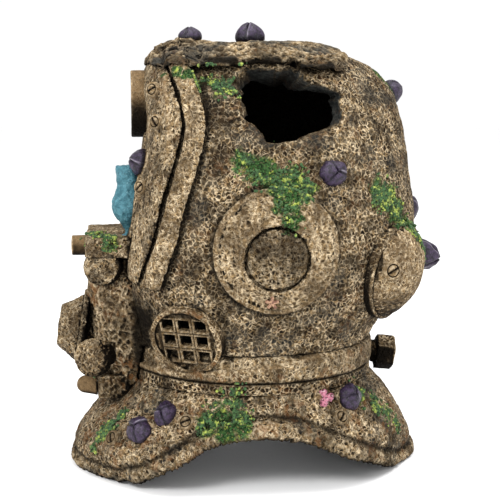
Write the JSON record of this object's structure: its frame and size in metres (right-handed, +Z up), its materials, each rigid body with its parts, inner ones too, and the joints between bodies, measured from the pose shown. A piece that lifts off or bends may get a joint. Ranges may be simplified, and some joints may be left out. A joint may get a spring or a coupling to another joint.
{
  "type": "bubbling aquarium ornament",
  "caption": "Hollow resin diver's helmet ornament with a broken side, ports, grilles, growths and an inner air stone that bubbles through its openings.",
  "frame": {"origin": "bottom centre of the bounding box, on the surface that the helmet stands on", "axes": "+Z up, the helmet looks towards -Y, its broken side faces +X"},
  "size_m": [0.121, 0.1498, 0.1724],
  "materials": {
    "bronze_resin": "cellular bronze-gold dry brush over near-black base coat",
    "moss_flock": "clumpy painted moss, yellow-green on the tips",
    "barnacle_paint": "purple-black paint with pale scratches",
    "blue_coral_paint": "mottled turquoise",
    "pink_coral_paint": "pink with dark holes",
    "starfish_paint": "pink to orange",
    "dark_lens": "black gloss",
    "grommet_rubber": "black rubber",
    "silicone_airline": "milky silicone",
    "clear_nipple": "moulded clear plastic",
    "air_stone_grit": "sintered blue-grey grit",
    "bracket_resin": "black base coat"
  },
  "bodies": {
    "helmet": {"air_stone_bracket": "bracket_resin", "blue_tube_coral": "blue_coral_paint", "bonnet_shell": "bronze_resin", "chin_canister": "bronze_resin", "collar_barnacles": "barnacle_paint", "corselet": "bronze_resin", "corselet_screws": "bronze_resin", "crown_barnacles": "barnacle_paint", "crown_ridge": "bronze_resin", "face_barnacle": "barnacle_paint", "face_frame": "bronze_resin", "face_frame_screws": "bronze_resin", "face_moulding": "bronze_resin", "face_window_rim": "bronze_resin", "far_barnacles": "barnacle_paint", "far_grille_plate": "bronze_resin", "far_grille_rim": "bronze_resin", "far_moss": "moss_flock", "far_port_disc": "bronze_resin", "far_port_dome": "bronze_resin", "far_port_plate": "bronze_resin", "forehead_port_collar": "bronze_resin", "forehead_port_lens": "dark_lens", "front_clamp_lug": "bronze_resin", "front_clamp_nub": "bronze_resin", "inlet_grommet": "grommet_rubber", "inlet_nipple": "clear_nipple", "inner_airline": "silicone_airline", "latch_knob": "bronze_resin", "latch_ledge": "bronze_resin", "latch_lug": "bronze_resin", "lower_neck_ring": "bronze_resin", "moss_brow": "moss_flock", "moss_collar": "moss_flock", "moss_ledge": "moss_flock", "moss_rear": "moss_flock", "moss_side_port": "moss_flock", "near_grille_plate": "bronze_resin", "near_grille_rim": "bronze_resin", "near_port_disc": "bronze_resin", "near_port_dome": "bronze_resin", "near_port_plate": "bronze_resin", "pink_coral": "pink_coral_paint", "rear_barnacles": "barnacle_paint", "rear_boss_barnacle": "barnacle_paint", "rear_boss_dome": "bronze_resin", "rear_boss_flange": "bronze_resin", "rear_boss_screw": "bronze_resin", "rear_clamp_nut": "bronze_resin", "rear_clamp_stud": "bronze_resin", "side_barnacle": "barnacle_paint", "spitcock_cap": "bronze_resin", "spitcock_stem": "bronze_resin", "starfish": "starfish_paint", "upper_neck_ring": "bronze_resin", "valve_cap": "bronze_resin", "valve_flange": "bronze_resin"},
    "air_stone": {"air_stone": "air_stone_grit", "air_stone_nipple": "clear_nipple"}
  },
  "joints": [
    {"name": "air_stone_pull", "type": "slide", "parent": "helmet", "child": "air_stone", "axis": [0.7071, -0.7071, 0], "range_m": [0, 0.012]}
  ]
}
